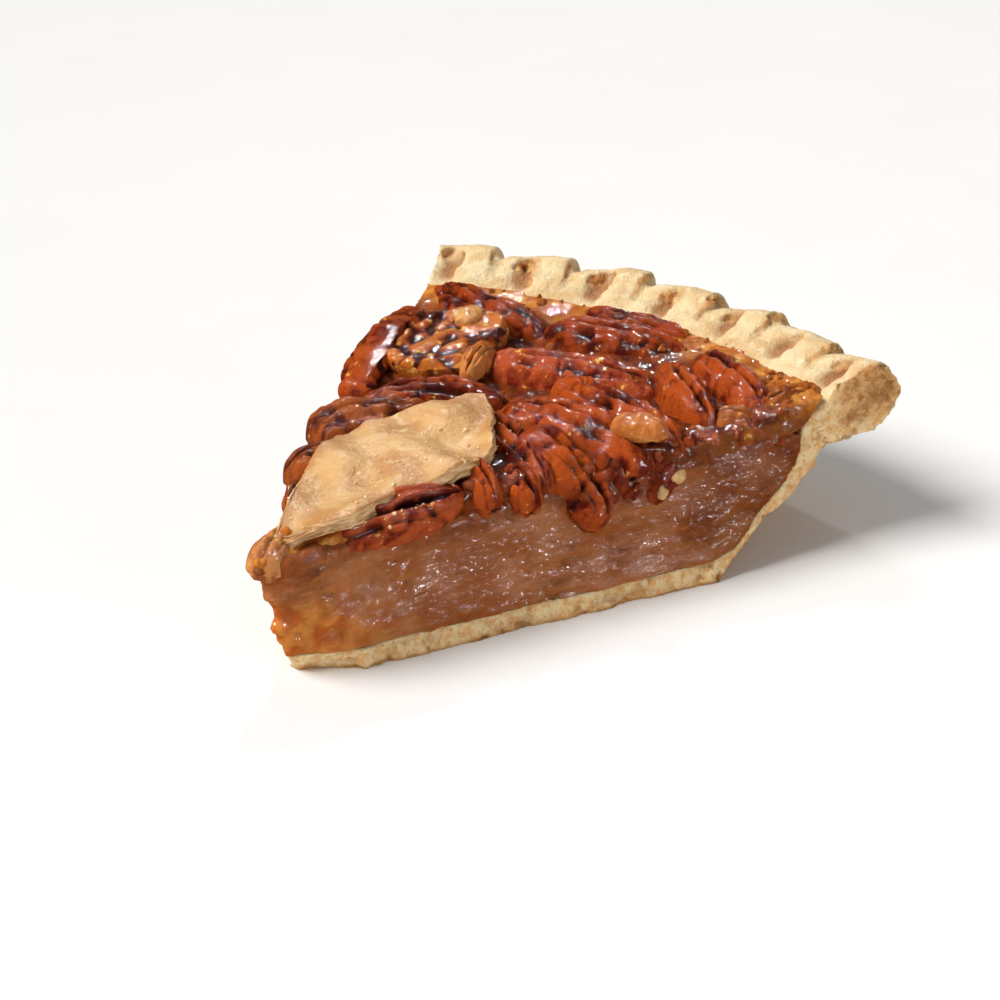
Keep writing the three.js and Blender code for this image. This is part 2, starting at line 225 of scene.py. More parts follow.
def turned(name, profile, angles, shape):
    """A solid of revolution, its rings moved by shape(radius, angle, height). Ends lie on the axis."""
    rings = []
    for r, z in profile[1:-1]:
        radius, height = shape(np.full(len(angles), r), angles, np.full(len(angles), z))
        rings.append(np.stack([radius * np.cos(angles), radius * np.sin(angles), height], 1))
    return ring_piece(name, rings, (0, 0, profile[0][1]), (0, 0, profile[-1][1]))


def wedge(relief, relief_scale, tip_start):
    """What the knife leaves: level outlines stacked up, with uneven walls."""
    count = math.ceil((KNIFE_REACH - tip_start) / KNIFE_STEP) + 1
    distances = tip_start + KNIFE_STEP * np.arange(count)

    def wall(r, z, side):
        angle = side * HALF_ANGLE
        offset = relief * noise(r / relief_scale, z / relief_scale, 10 * side + 40)
        if side > 0:
            offset = offset + FAR_WALL_BULGE * smoothstep(r, 0, 26) * (1 - smoothstep(r, 84, 108))
        else:
            lean = NEAR_WALL_LEAN * max(0, 1 - z / CUSTARD_TOP)
            offset = offset + lean * smoothstep(r, 1, 14) * (1 - smoothstep(r, 92, 118))
        pull = along(TIP_OVERHANG, z) * bump(r, 0, TIP_REACH)
        x = r * math.cos(angle) - offset * math.sin(HALF_ANGLE) - pull
        y = r * math.sin(angle) + side * offset * math.cos(HALF_ANGLE)
        return np.stack([x, y, np.full_like(x, z)], 1)

    rings = []
    for z in np.arange(KNIFE_FOOT, KNIFE_TOP, KNIFE_STEP):
        rings.append(np.concatenate([wall(distances[::-1], z, -1), wall(distances, z, 1)]))
    middle = KNIFE_REACH / 2
    return ring_piece("knife", rings, (middle, 0, rings[0][0, 2]), (middle, 0, rings[-1][0, 2]))


def resampled(profile, step):
    """The profile's corners with points at most step apart between them."""
    out = [profile[0]]
    for (x0, y0), (x1, y1) in zip(profile, profile[1:]):
        count = max(1, math.ceil(math.hypot(x1 - x0, y1 - y0) / step))
        out += [(x0 + (x1 - x0) * k / count, y0 + (y1 - y0) * k / count) for k in range(1, count + 1)]
    return out


def spline(points, steps):
    """A Catmull-Rom curve through the points, its ends repeated."""
    p = np.array([points[0], *points, points[-1]], float)
    out = [tuple(points[0])]
    for k in range(steps):
        place = (k + 1) / steps * (len(points) - 1)
        n = min(int(place), len(points) - 2)
        t = place - n
        a, b, c, d = p[n:n + 4]
        square = (2 * a - 5 * b + 4 * c - d) * t ** 2
        cube = (3 * b - a - 3 * c + d) * t ** 3
        out.append(tuple(0.5 * (2 * b + (c - a) * t + square + cube)))
    return out


def slice_angles(fine_deg):
    """Angles round the pie, fine_deg apart across the slice and 8 degrees apart elsewhere."""
    across = np.arange(-34, 34.01, fine_deg)
    rest = np.arange(42, 320, 8)
    return np.radians(np.concatenate([across, rest]))


def wall_normal(side):
    """The way a cut wall faces, near side -1 and far side 1."""
    return np.array([-math.sin(HALF_ANGLE), side * math.cos(HALF_ANGLE), 0])


def facing_walls(normals):
    """1 where a surface faces straight out of either cut."""
    return np.maximum(normals @ wall_normal(-1), normals @ wall_normal(1))


# ---- pastry case ----

# The crust's wall as (height, radius), inside and outside.
INNER_WALL = [
    (CRUST_FLOOR, BASE_RADIUS - 1.5),
    (CRUST_FLOOR + 1.4, BASE_RADIUS + 3.3),
    (14.4, FILL_RADIUS - 13.1),
    (17.5, FILL_RADIUS - 9),
    (20.6, FILL_RADIUS - 7.1),
    (25.4, FILL_RADIUS - 6.6),
    (31.2, FILL_RADIUS - 0.2),
]
OUTER_WALL = [
    (0, BASE_RADIUS),
    (4.4, BASE_RADIUS + 4.5),
    (9.7, BASE_RADIUS + 10.9),
    (13.6, FILL_RADIUS - 7.2),
    (17, FILL_RADIUS - 3.8),
]


def fill_wall(z):
    """Radius that the fillings reach at height z."""
    return along(INNER_WALL, z) + FILL_OVERLAP


def crust_profile():
    """The crust cut through, as (radius, height) from the middle of its foot round to its floor."""
    rim = spline([
        (FILL_RADIUS - 2.6, 20.6), (FILL_RADIUS + 4, 21.2), (RIM_RADIUS - 4, 21.8),
        (RIM_RADIUS - 0.4, 24.8), (RIM_RADIUS, 28.8), (RIM_RADIUS - 2.6, RIM_TOP - 1.4),
        (RIM_RADIUS - 6.4, RIM_TOP), (RIM_RADIUS - 10, RIM_TOP - 1.6), (FILL_RADIUS + 1.6, 32.6),
        (FILL_RADIUS - 0.2, 31.2),
    ], RIM_STEPS)
    inner = [(r, z) for z, r in reversed(INNER_WALL[:-1])]
    outer = [(r, z) for z, r in OUTER_WALL]
    return resampled([(0, 0), *outer, *rim, *inner, (0, CRUST_FLOOR)], 1.0)


def flute_turn(angle):
    """Flutes counted round the rim; they crowd a little to the near side."""
    drift = FLUTE_PHASE_DEG + FLUTE_DRIFT_DEG * smoothstep(-np.degrees(angle), 4, 14)
    return (np.degrees(angle) - drift) / 360 * FLUTES


def flute_phase(angle):
    """1 at the near end of each flute, falling to 0 at its far end."""
    turn = flute_turn(angle)
    return 1 - (turn - np.floor(turn))


def thumb_dent(angle):
    """How deep each flute's inner face is dented, each a little differently."""
    phase = flute_phase(angle)
    own = hash3(np.floor(flute_turn(angle)), 3, 1)
    return smoothstep(phase, 0.18, 0.42) * (1 - smoothstep(phase, 0.47, 0.57)) * (0.75 + 0.6 * own)


def fluted_rim(r, angle, z):
    """Each flute rises evenly to the right and drops off, with a thumb dent in its inner face."""
    phase = flute_phase(angle)
    on_rim = smoothstep(z, 22, 29) * smoothstep(r, FILL_RADIUS, FILL_RADIUS + 6)
    inner = bump(r, FILL_RADIUS + 3.4, 3.9) * smoothstep(z, 30.6, 32)
    own = 0.8 + 0.4 * hash3(np.floor(flute_turn(angle)), 5, 2)
    climb = own * (0.25 + 0.75 * phase)
    knob = climb * smoothstep(phase, 0, 0.1) * (1 - smoothstep(phase, 0.92, 1)) - 0.55
    dent = DENT_DEPTH * thumb_dent(angle)
    ridge = bump(phase, 0.72, 0.1)
    wobble = noise(angle * 9, z / 9, 3)
    out = r + on_rim * (0.8 * FLUTE_RISE * knob + 0.9 * wobble) + inner * (dent - 0.9 * ridge)
    up = z + on_rim * (1.3 * FLUTE_RISE * knob + 0.5 * wobble) - 0.4 * inner * dent
    far = on_rim * smoothstep(np.degrees(angle), 8, 20)
    return out + FAR_END_OUT * far, up + FAR_END_UP * far


def make_crust():
    crust = turned("crust_baked", crust_profile(), slice_angles(0.4), fluted_rim)
    cut_to(crust, wedge(0.7, 3.4, 1.8), CRUST_VOXEL)
    points, normals = read_points(crust), read_normals(crust)
    r, angle = polar(points)
    z = points[:, 2]
    cut = smoothstep(facing_walls(normals), 0.55, 0.85)
    rim = smoothstep(z, 23, 27) * smoothstep(r, FILL_RADIUS, FILL_RADIUS + 4)
    dough = 0.32 * layered(points, 4.5, 1, 2) + 0.1 * layered(points, 1.3, 2, 2)
    crumb = 0.45 * layered(points, 2.2, 3, 3)
    crumb = crumb - 1.1 * smoothstep(layered(points, 1.7, 5, 2), 0.3, 0.9)
    torn = 1.1 * layered(points, 3.4, 6, 3)
    torn = rim * (torn - 1.4 * smoothstep(layered(points, 2.2, 7, 3), 0.25, 0.8))
    amount = dough * (1 - cut) * (0.35 + 0.65 * rim) + cut * (crumb + torn)
    base = smoothstep(z, 0.7, 0.1) * (normals[:, 2] < -0.5)
    amount = amount * (1 - base)
    moved = points + normals * amount[:, None]
    moved[:, 2] = np.maximum(moved[:, 2], 0)
    write_points(crust, moved)
    inner = bump(r, FILL_RADIUS + 4, 4.8) * smoothstep(z, 29.6, 32)
    outer = along([*OUTER_WALL, (20.6, FILL_RADIUS - 2.6)], z)
    skin = np.maximum(smoothstep(z, 1.1, 0.3), smoothstep(outer - r, 1.2, 0.4) * (z < 21.5))
    # dent also drives painted shade: the material browns the thumb dents where shade falls in them
    write_attributes(crust, dent=inner * thumb_dent(angle), cut=cut, skin=skin, rim=rim)
    return crust


# ---- fillings ----

# Height above which syrup has stained the cut custard, as (radius, height), and how deeply.
STAIN_LINE = [
    (0, 20.4), (20, 19.6), (40, 20), (50, 21.4), (58, 20.6),
    (66, 18.6), (74, 19.4), (82, 22.4), (92, 22), (104, 21),
]
STAIN_DEPTH = [(0, 0.45), (56, 0.6), (64, 1), (76, 1), (84, 0.5)]


def tip_sag(r):
    """How much lower the layers lie towards the tip."""
    return TIP_SAG * (1 - smoothstep(r, 8, 46))


def custard_top(x, y):
    return CUSTARD_TOP - tip_sag(np.hypot(x, y)) + 0.35 * noise(x / 13, y / 13, 7)


def syrup_top(x, y):
    r = np.hypot(x, y)
    rise = SYRUP_RIM_RISE * smoothstep(r, 86, FILL_RADIUS)
    return SYRUP_TOP + rise - tip_sag(r) + 0.8 * noise(x / 8, y / 8, 21)


def make_custard():
    side = [(BASE_RADIUS - 1.5, CUSTARD_FOOT)]
    side += [(fill_wall(z), z) for z in (5.4, 14.4, 17.5, 20.6, 24.4)]
    top = [(r, CUSTARD_TOP) for r in range(98, 3, -4)]
    profile = [(0, CUSTARD_FOOT), *resampled(side, 4), *top, (0, CUSTARD_TOP)]

    def shape(r, angle, z):
        top_here = custard_top(r * np.cos(angle), r * np.sin(angle))
        return r, np.where(z < CUSTARD_TOP - 0.2, z, top_here)

    custard = turned("custard_set", profile, slice_angles(1.5), shape)
    cut_to(custard, wedge(0.55, 9, 1.2), CUSTARD_VOXEL)
    points, normals = read_points(custard), read_normals(custard)
    cut = smoothstep(facing_walls(normals), 0.2, 0.7)
    r, _ = polar(points)
    z = points[:, 2]
    tip = 1 - smoothstep(r, 4, 34)
    wet = smoothstep(layered(points, (9, 9, 6), 14, 2), -0.1, 0.6)
    swell = 0.34 * layered(points, (9, 9, 4), 3, 2)
    torn = (0.1 + 0.6 * wet) * layered(points, (2.6, 2.6, 1.2), 8, 3)
    lumpy = tip * (1.1 * layered(points, (4.2, 4.2, 3.4), 9, 3) + 0.5 * smoothstep(z, 16, 20))
    clear_of_base = np.where(normals[:, 2] > -0.6, 1, 0) * smoothstep(z, 5, 8)
    amount = cut * (swell + torn) + clear_of_base * lumpy
    write_points(custard, points + normals * amount[:, None])
    border = along(STAIN_LINE, r) + 1.1 * layered(points, (5, 5, 5), 15, 3)
    write_attributes(
        custard, wet=wet, outer=smoothstep(r, 58, 98),
        tip=(1 - smoothstep(r, 3, 22)) * smoothstep(17 - z, -2, 7),
        stain=along(STAIN_DEPTH, r) * smoothstep(z - border, -1.2, 1.6),
    )
    return custard


# The syrup climbs in the gaps between the kernels. This is worked out on a grid over the slice.
COVER_CELL = 0.5
COVER_CORNER = (-14, -62)
COVER_CELLS = (290, 250)
SYRUP_CLIMB = 0.62
CLIMB_LIMIT = 2.6
CLIMB_SPREAD = 1.7


def kernel_cover(kernels):
    """How far the syrup climbs in each cell, and a function that gives the cell at a place."""
    cover = np.zeros(COVER_CELLS)

    def place(*xy):
        return tuple(
            np.clip(((v - corner) / COVER_CELL).astype(int), 0, cells - 1)
            for v, corner, cells in zip(xy, COVER_CORNER, COVER_CELLS)
        )

    for kernel in kernels:
        x, y, z = read_points(kernel).T
        np.maximum.at(cover, place(x, y), np.clip(z - syrup_top(x, y), 0, CLIMB_LIMIT))
    weights = bump(np.arange(-6, 7) * COVER_CELL, 0, CLIMB_SPREAD)
    weights /= weights.sum()
    for axis in (0, 1):
        cover = np.apply_along_axis(np.convolve, axis, cover, weights, "same")
    return SYRUP_CLIMB * cover, place


def make_syrup(kernels):
    above = SYRUP_TOP + 1
    under = [(r, CUSTARD_TOP) for r in range(10, 99, 11)]
    side = [(fill_wall(26), 26.3), (fill_wall(29.6), above)]
    over = [(r, above) for r in np.arange(103, 2, -1.5)]
    profile = [(0, CUSTARD_TOP), *under, *side, *over, (0, above)]
    heights, place = kernel_cover(kernels)

    def shape(r, angle, z):
        x, y = r * np.cos(angle), r * np.sin(angle)
        top = syrup_top(x, y)
        bottom = custard_top(x, y) - 2.6 + 1.2 * noise(x / 5, y / 5, 61)
        return r, np.where(z > SYRUP_TOP, top, np.where(z < CUSTARD_TOP + 0.2, bottom, z))

    syrup = turned("syrup_set", profile, slice_angles(1.0), shape)
    cut_to(syrup, wedge(0.55, 9, 0.9), SYRUP_VOXEL)
    points, normals = read_points(syrup), read_normals(syrup)
    up = smoothstep(normals[:, 2], 0.3, 0.8)
    climb = heights[place(points[:, 0], points[:, 1])]
    pools = 0.22 * layered(points, 3.4, 12, 2)
    points[:, 2] += up * (climb + pools)
    cut = smoothstep(facing_walls(normals), 0.4, 0.8)
    low = 1 - smoothstep(points[:, 2], CUSTARD_TOP - 2, CUSTARD_TOP + 0.6)
    points += normals * (cut * (0.5 * layered(points, 2.4, 13, 3) - 0.45 * low))[:, None]
    r, _ = polar(points)
    points[:, :2] *= np.minimum(1, fill_wall(points[:, 2]) / np.maximum(r, 1))[:, None]
    write_points(syrup, points)
    thin = smoothstep(r, 78, 88) * (1 - smoothstep(points[:, 2], 27.4, 28.8))
    rimward = np.maximum(smoothstep(r, 98, 108), 1 - smoothstep(r, 8, 16))
    write_attributes(syrup, rimward=rimward, cut=smoothstep(facing_walls(normals), 0.3, 0.6) * thin)
    return syrup


# ---- pecans ----

# For each: its name, the middle of its flat side, its yaw, pitch and roll in degrees, its length,
# width and height, its finish, and how wrinkled it is. Its seed is its place in the list.
KERNELS = [
    ("edge_hanging", (52.6, -20.4, 23.4), (-86, 46, 0), (23, 10.5, 6.8), "red", 1),
    ("oval_tip", (66.1, -28.3, 30.4), (-72, 0, 0), (11, 6.6, 3.6), "almond", 0.2),
    ("centre_crown", (63, -16.4, 25.8), (-84, 5, 0), (33, 13.5, 6.8), "red", 1),
    ("centre_long", (82.2, -1.4, 26.6), (-70, 0, 0), (37, 14, 6.6), "rosy", 1),
    ("centre_right", (73.6, -17.4, 26.2), (-98, 1, 0), (33, 11.5, 7), "red", 1),
    ("gloss_left", (87.3, -24.6, 26.8), (-128, 0, 0), (24, 10, 6.6), "red", 1),
    ("gloss_right", (96.6, -28.4, 27.2), (-122, 0, 0), (27, 11, 6.6), "red", 1),
    ("corner_amber", (97.4, -42, 27.2), (-24, 0, 0), (16, 8, 5), "amber", 0.5),
    ("corner_lump", (85.4, -36.4, 25.4), (-60, 4, 10), (10, 8, 5.4), "amber", 0.3),
    ("flat_side_up", (76.6, 25, 32.2), (-8, -2, 182), (29.5, 20, 6), "broken", 1),
    ("far_edge_red", (71, 33.6, 27), (19, 0, -78), (38, 14, 7.5), "red", 0.8),
    ("rim_far", (97, 30.4, 27.6), (-98, 0, 0), (32, 11.5, 6.4), "dark", 1),
    ("rim_middle", (99.6, 0.6, 27.2), (-80, 0, 0), (32, 11.5, 6.4), "dark", 1),
    ("rim_dark", (106.8, 0.4, 29.2), (-91, 0, 0), (26, 6.5, 4.4), "dark", 1),
    ("sliver_pale", (73, 14.4, 30), (14, 0, 0), (14, 5, 3.6), "almond", 0.9),
    ("left_upper", (58.6, 12.2, 26.6), (-56, 0, 0), (27, 10.5, 6.4), "red", 1),
    ("left_middle", (44.2, 16.8, 25.8), (-34, 0, 0), (26, 14, 6.6), "brown", 1),
    ("left_lower", (30.4, 12.8, 24), (-28, 0, -8), (23, 11, 6.6), "brown", 1),
    ("left_edge", (20.6, 10.6, 22), (22, 0, -40), (19, 11, 6.4), "brown", 1),
    ("beside_leaf", (50.6, -11.4, 25.6), (-119, 3, 0), (26, 9.5, 6.4), "red", 1),
    ("under_leaf", (37.4, -10, 24.4), (-106, 0, 0), (19, 9, 6.6), "red", 1),
    ("small_red", (42.6, -18.4, 23.6), (-100, 8, 10), (10, 8, 6), "red", 1),
    ("face_long", (18.6, -7, 24.6), (-25.7, -10, 40), (30, 10, 5.8), "rosy", 1),
    ("tip_caramel", (-3.2, 1.6, 22.6), (30, 0, 8), (10.5, 7.6, 5.6), "caramel", 0.35),
    ("face_embedded", (4.6, -1.75, 14.6), (-27, 11, 90), (18, 8.4, 3), "soaked", 0.2),
    ("face_cut_pale", (67.7, -32, 20.6), (-25.7, -45, 90), (9.5, 5.4, 2.4), "sodden", 0.15),
]
KERNEL_RINGS = 84
TOP_STEPS = 52
UNDER_STEPS = 34
KERNEL_BEND = 0.07
KERNEL_GAP = 0.3


def kernel_frame(turn):
    """The matrix that turns a kernel by its yaw, pitch and roll."""
    yaw, pitch, roll = (math.radians(a) for a in turn)
    return np.array(Euler((roll, pitch, yaw), "XYZ").to_matrix())


def kernel_outline(t, size, seed):
    """Half width, height and sideways bend at t, from -1 to 1 along the kernel."""
    _, width, height = size
    taper = np.sqrt(np.maximum(0, 1 - np.abs(t) ** 3)) * (1 - 0.16 * np.maximum(0, t) ** 2)
    return width / 2 * taper, height * taper ** 0.8, KERNEL_BEND * width * np.sin(2.4 * t + seed)


def kernel_top(t, size, seed, crag):
    """Lobes each side of the middle groove, with ridges along them and wrinkles across."""
    side, crown, bend = kernel_outline(t, size, seed)
    a = np.cos(np.linspace(0.02, math.pi - 0.02, TOP_STEPS))[None, :]
    x, y = size[0] / 2 * t, side * a
    off_middle = np.abs(a)
    from_end = 1 - np.abs(t)
    flank = smoothstep(off_middle, 0.2, 0.7)
    ends = smoothstep(from_end, 0, 0.12)
    inner_part = smoothstep(from_end, 0.1, 0.5)

    wander = 0.07 * noise(t * 3 + seed, 0.5, seed + 2)
    groove = 0.58 * bump(a, wander, 0.11) * (0.75 + 0.25 * noise(t * 5, seed, 1))
    lobe_middle = 0.52 + 0.06 * noise(t * 3, np.sign(a) + 3, seed)
    side_groove = 0.2 * inner_part * bump(np.abs(a - wander), lobe_middle, 0.1)
    groove = groove * (0.4 + 0.6 * inner_part) + side_groove
    groove = groove * min(1, 1.4 * crag)

    warp_x = x + 0.7 * noise(x / 2.4, y / 2.4, seed + 9)
    warp_y = y + 0.7 * noise(x / 2.4, y / 2.4, seed + 19)
    folds = creased(warp_x / 4.6, warp_y / (1.8 + 0.8 * flank), seed + 4)
    knobs = creased(warp_x / 1.5, warp_y / 1.5, seed + 6)
    swell = noise(x / 4.6, y / 4.2, seed + 8)
    relief = 0.75 * (folds - 0.45) * (0.65 + 0.4 * flank) + 0.2 * (knobs - 0.4) + 0.45 * swell
    relief = relief * ends * crag

    dome = np.sqrt(np.maximum(0, 1 - off_middle ** 2.3))
    crinkle = 1 + 0.09 * noise(t * 4 + seed * 3.1, a * 2.2, seed)
    shell = crown * dome * (1 - groove * (0.35 + 0.65 * ends)) * crinkle
    z = shell + relief * smoothstep(dome, 0.1, 0.6)
    spread = 1 + 0.07 * relief * flank
    top = np.stack(np.broadcast_arrays(x, y * crinkle * spread + bend, z), -1)
    return top, np.broadcast_to(groove, z.shape), np.broadcast_to(relief, z.shape)


def kernel_underside(t, size, seed, crag):
    """A lobed raised edge round a hollow filled with broken lumps."""
    _, width, height = size
    side, _, bend = kernel_outline(t, size, seed)
    b = -np.cos(np.linspace(0.1, math.pi - 0.1, UNDER_STEPS))[None, :]
    x, y = size[0] / 2 * t, side * b
    depth = 0.12 * height * (side / (width / 2))
    inward = np.minimum(1 - np.abs(b), 1.3 * (1 - np.abs(t)))
    lobes = creased(x / 4.4, y / 4.4, seed + 11)
    edge = bump(inward, 0.22, 0.17) * (0.2 + 0.9 * lobes)
    hollow = smoothstep(inward, 0.3, 0.6)
    chunks = creased((x + 0.8 * y) / 6.8, (y - 0.3 * x) / 4, seed + 12)
    broken = chunks - 0.5
    z = -depth * (1 - b ** 6) - 0.2 * height * edge + 0.02 * height * hollow
    z = z - 0.9 * crag * broken * (1 - b ** 4)
    under = np.stack(np.broadcast_arrays(x, y + bend, z), -1)
    # Painted shade: crevice darkens the creases between the broken lumps and the edge's lobes.
    crevice = 0.36 * (1 - smoothstep(np.minimum(chunks, 0.2 + lobes), 0.05, 0.35))
    return under, np.broadcast_to(crevice, z.shape), broken


def kernel_rings(size, seed, crag):
    """Rings round a kernel, with how deep in a groove and how high on a ridge each point is."""
    t = -np.cos(math.pi * np.arange(1, KERNEL_RINGS) / KERNEL_RINGS)[:, None]
    halves = (kernel_top(t, size, seed, crag), kernel_underside(t, size, seed, crag))
    return [np.concatenate(pair, 1) for pair in zip(*halves)]


def squeeze(points, centre, earlier):
    """Presses a kernel's points off the kernels listed before it, towards its own side."""
    for seed, (name, at, turn, size, _, _) in enumerate(earlier):
        if name == "flat_side_up":  # it lies upside down on its neighbours
            continue
        matrix = kernel_frame(turn)
        local = (points - at) @ matrix
        own = (np.array(centre) - at) @ matrix
        t = local[:, 0] / (size[0] / 2 + KERNEL_GAP)
        side, crown, bend = kernel_outline(np.clip(t, -0.999, 0.999), size, seed)
        y = local[:, 1] - bend
        z = local[:, 2]
        lift = np.clip(z / (crown + KERNEL_GAP), -1, 1)
        limit = (side + KERNEL_GAP) * np.sqrt(1 - lift ** 2)
        inside = (np.abs(t) < 1) & (np.abs(y) < limit) & (z > -1) & (z < crown + KERNEL_GAP)
        if not inside.any():
            continue
        sign = 1 if own[1] >= 0 else -1
        if abs(own[1]) > 0.45 * size[1] / 2:
            local[inside, 1] = (bend + sign * limit)[inside]
        else:
            local[inside, 2] = np.minimum(local[inside, 2], -1)
        points = local @ matrix.T + at
    return points


def make_kernel(seed, spec):
    name, at, turn, size, _, crag = spec
    length, width, height = size
    rings, groove, relief = kernel_rings(size, seed, crag)
    poles = []
    for t in (-1, 1):
        poles.append((length / 2 * t, KERNEL_BEND * width * math.sin(2.4 * t + seed), height * 0.12))
    local = np.concatenate([rings.reshape(-1, 3), poles])
    points = squeeze(local @ kernel_frame(turn).T + at, at, KERNELS[:seed])
    r, _ = polar(points)
    points[:, :2] *= np.minimum(1, (fill_wall(points[:, 2]) - 0.1) / np.maximum(r, 1))[:, None]
    kernel = make_piece(f"pecan_half_{name}", points, ring_faces(*rings.shape[:2]))
    # groove carries painted shade into the material, and ridge carries painted highlight.
    write_attributes(kernel, groove=np.append(groove, [0.2, 0.2]), ridge=np.append(relief, [0, 0]))
    return kernel


# ---- pastry leaf ----

# (x, y) round the leaf, seen from above.
LEAF_OUTLINE = [
    (-2.8, 0.8), (-1.6, -2.4), (3.2, -5.8), (8, -7.8), (15.4, -7.6), (21, -8.4), (28.4, -12.2),
    (36, -13.4), (42.2, -12.4), (53.2, -3.9), (55.4, -0.6), (53.4, 2), (49, 3.2), (48, 5.8),
    (44.4, 6.2), (38.6, 9.4), (35.4, 11.6), (26.8, 11.8), (18, 10.2), (6, 4.8),
]
LEAF_THICKNESS = 3
LEAF_MIDDLE = np.array([25, -0.5])
LEAF_TOP_SHARES = np.linspace(0.02, 0.985, 62)
LEAF_UNDER_SHARES = np.linspace(0.97, 0.03, 40)
# How far each flaky layer of the leaf's edge stands out, as (depth below the top, outset).
LEAF_LAYERS = [(0, 0), (0.5, 0.1), (1.3, 0.5), (1.9, -0.3), (2.5, 0.3), (3, -0.3)]


def leaf_top(x, y):
    rise = 29.4 + 0.1 * x + 0.06 * y
    return rise + 1.2 * noise(x / 8 + 2, y / 6, 5) + 0.4 * np.sin(x / 3.1 + y / 8)


def make_leaf():
    outline = np.array(resampled([*LEAF_OUTLINE, LEAF_OUTLINE[0]], 0.6)[:-1])
    x, y = outline.T
    ragged = 0.28 * noise(x / 2.3, y / 2.3, 31) + 0.16 * noise(x / 0.8, y / 0.8, 32)
    away = outline - LEAF_MIDDLE
    away /= np.linalg.norm(away, axis=1)[:, None]
    outline = outline + away * ragged[:, None]

    def ring(share, drop, outset):
        flat = LEAF_MIDDLE + (outline - LEAF_MIDDLE) * share + away * np.reshape(outset, (-1, 1))
        return np.column_stack([flat, leaf_top(*flat.T) - drop])

    rings = [ring(share, 0, 0) for share in LEAF_TOP_SHARES]
    rings.append(ring(1, 0.12, -0.05))
    for drop in np.arange(0.3, LEAF_THICKNESS - 0.15, 0.16):
        flakes = 0.35 * noise(x / 3.2, y / 3.2, drop / 0.38)
        flakes = flakes + 0.18 * noise(x / 0.9, y / 0.9, drop / 0.25)
        rings.append(ring(1, drop, along(LEAF_LAYERS, drop) + flakes))
    rings.append(ring(1, LEAF_THICKNESS - 0.1, -0.4))
    rings += [ring(share, LEAF_THICKNESS, 0) for share in LEAF_UNDER_SHARES]
    toast = np.ones((len(rings), len(outline)))
    toast[:len(LEAF_TOP_SHARES)] = smoothstep(LEAF_TOP_SHARES, 0.84, 0.985)[:, None]
    top = np.array([*LEAF_MIDDLE, leaf_top(*LEAF_MIDDLE)])
    leaf = ring_piece("pastry_leaf_baked", rings, top, top - (0, 0, LEAF_THICKNESS))
    points, normals = read_points(leaf), read_normals(leaf)
    up = np.abs(normals[:, 2])
    dough = 0.12 * layered(points, 3.2, 41, 2) + 0.75 * layered(points, 6.4, 42, 1)
    grain = 0.04 * layered(points, 1.1, 43, 2)
    write_points(leaf, points + normals * ((dough + grain) * up)[:, None])
    under = smoothstep(-normals[:, 2], 0.2, 0.7)
    toast = np.append(toast, [0, 1])
    write_attributes(leaf, edge=1 - smoothstep(up, 0.3, 0.8), under=under, toast=toast)
    return leaf


# ---- small things ----

ABOVE_ALL = 60  # a height clear of every piece


def lumps(name, places, sizes, squash, seed, roughness=0.3, rings=12, around=18):
    """Small uneven closed lumps in one mesh."""
    u = np.pi * np.arange(1, rings + 1) / (rings + 1)
    v = 2 * np.pi * np.arange(around) / around
    ball = [np.outer(np.sin(u), np.cos(v)), np.outer(np.sin(u), np.sin(v))]
    ball.append(np.outer(np.cos(u), np.ones(around)))
    ball = np.concatenate([np.stack(ball, -1).reshape(-1, 3), [(0, 0, 1), (0, 0, -1)]])
    ball_faces = ring_faces(rings, around)
    points, faces = [], []
    for n, (at, size) in enumerate(zip(places, sizes)):
        uneven = ball * (1 + roughness * layered(ball * 1.1 + n * 3.7, 1, seed, 2))[:, None]
        turn = np.array(Euler((n * 1.3, n * 2.1, n * 0.7)).to_matrix())
        flattened = uneven * (1, 1 - 0.4 * hash3(n, seed, 1), squash)
        start = n * len(ball)
        points.append(np.asarray(at) + flattened @ turn.T * size)
        faces += [[start + i for i in reversed(f)] for f in ball_faces]
    return make_piece(name, np.concatenate(points), faces)


def scatter(count, seed, r_low, r_high):
    """Seeded places across the slice's top, between two radii and clear of the cuts."""
    n = np.arange(count)
    r = r_low + (r_high - r_low) * np.sqrt(hash3(n, seed, 2))
    margin = np.degrees(np.arctan(2.2 / np.maximum(r, 4)))
    angle = np.radians((2 * hash3(n, seed, 3) - 1) * (HALF_ANGLE_DEG - margin))
    return r * np.cos(angle), r * np.sin(angle)


def by_wall(r, side, inset):
    """Places at radius r by a cut wall, inset into the slice from it."""
    x = r * math.cos(HALF_ANGLE) - inset * math.sin(HALF_ANGLE)
    y = side * (r * math.sin(HALF_ANGLE) - inset * math.cos(HALF_ANGLE))
    return x, y


def surface_under(pieces):
    """A function that gives the height of the highest of the pieces at each place, in mm."""
    corners, faces = [], []
    start = 0
    for piece in pieces:
        points = read_points(piece)
        corners += points.tolist()
        faces += [[start + i for i in face.vertices] for face in piece.data.polygons]
        start += len(points)
    tree = BVHTree.FromPolygons(corners, faces)

    def height(x, y):
        hits = [tree.ray_cast((a, b, ABOVE_ALL), (0, 0, -1))[0] for a, b in zip(x, y)]
        return np.array([hit.z if hit else 0 for hit in hits])

    return height


# ---- materials ----

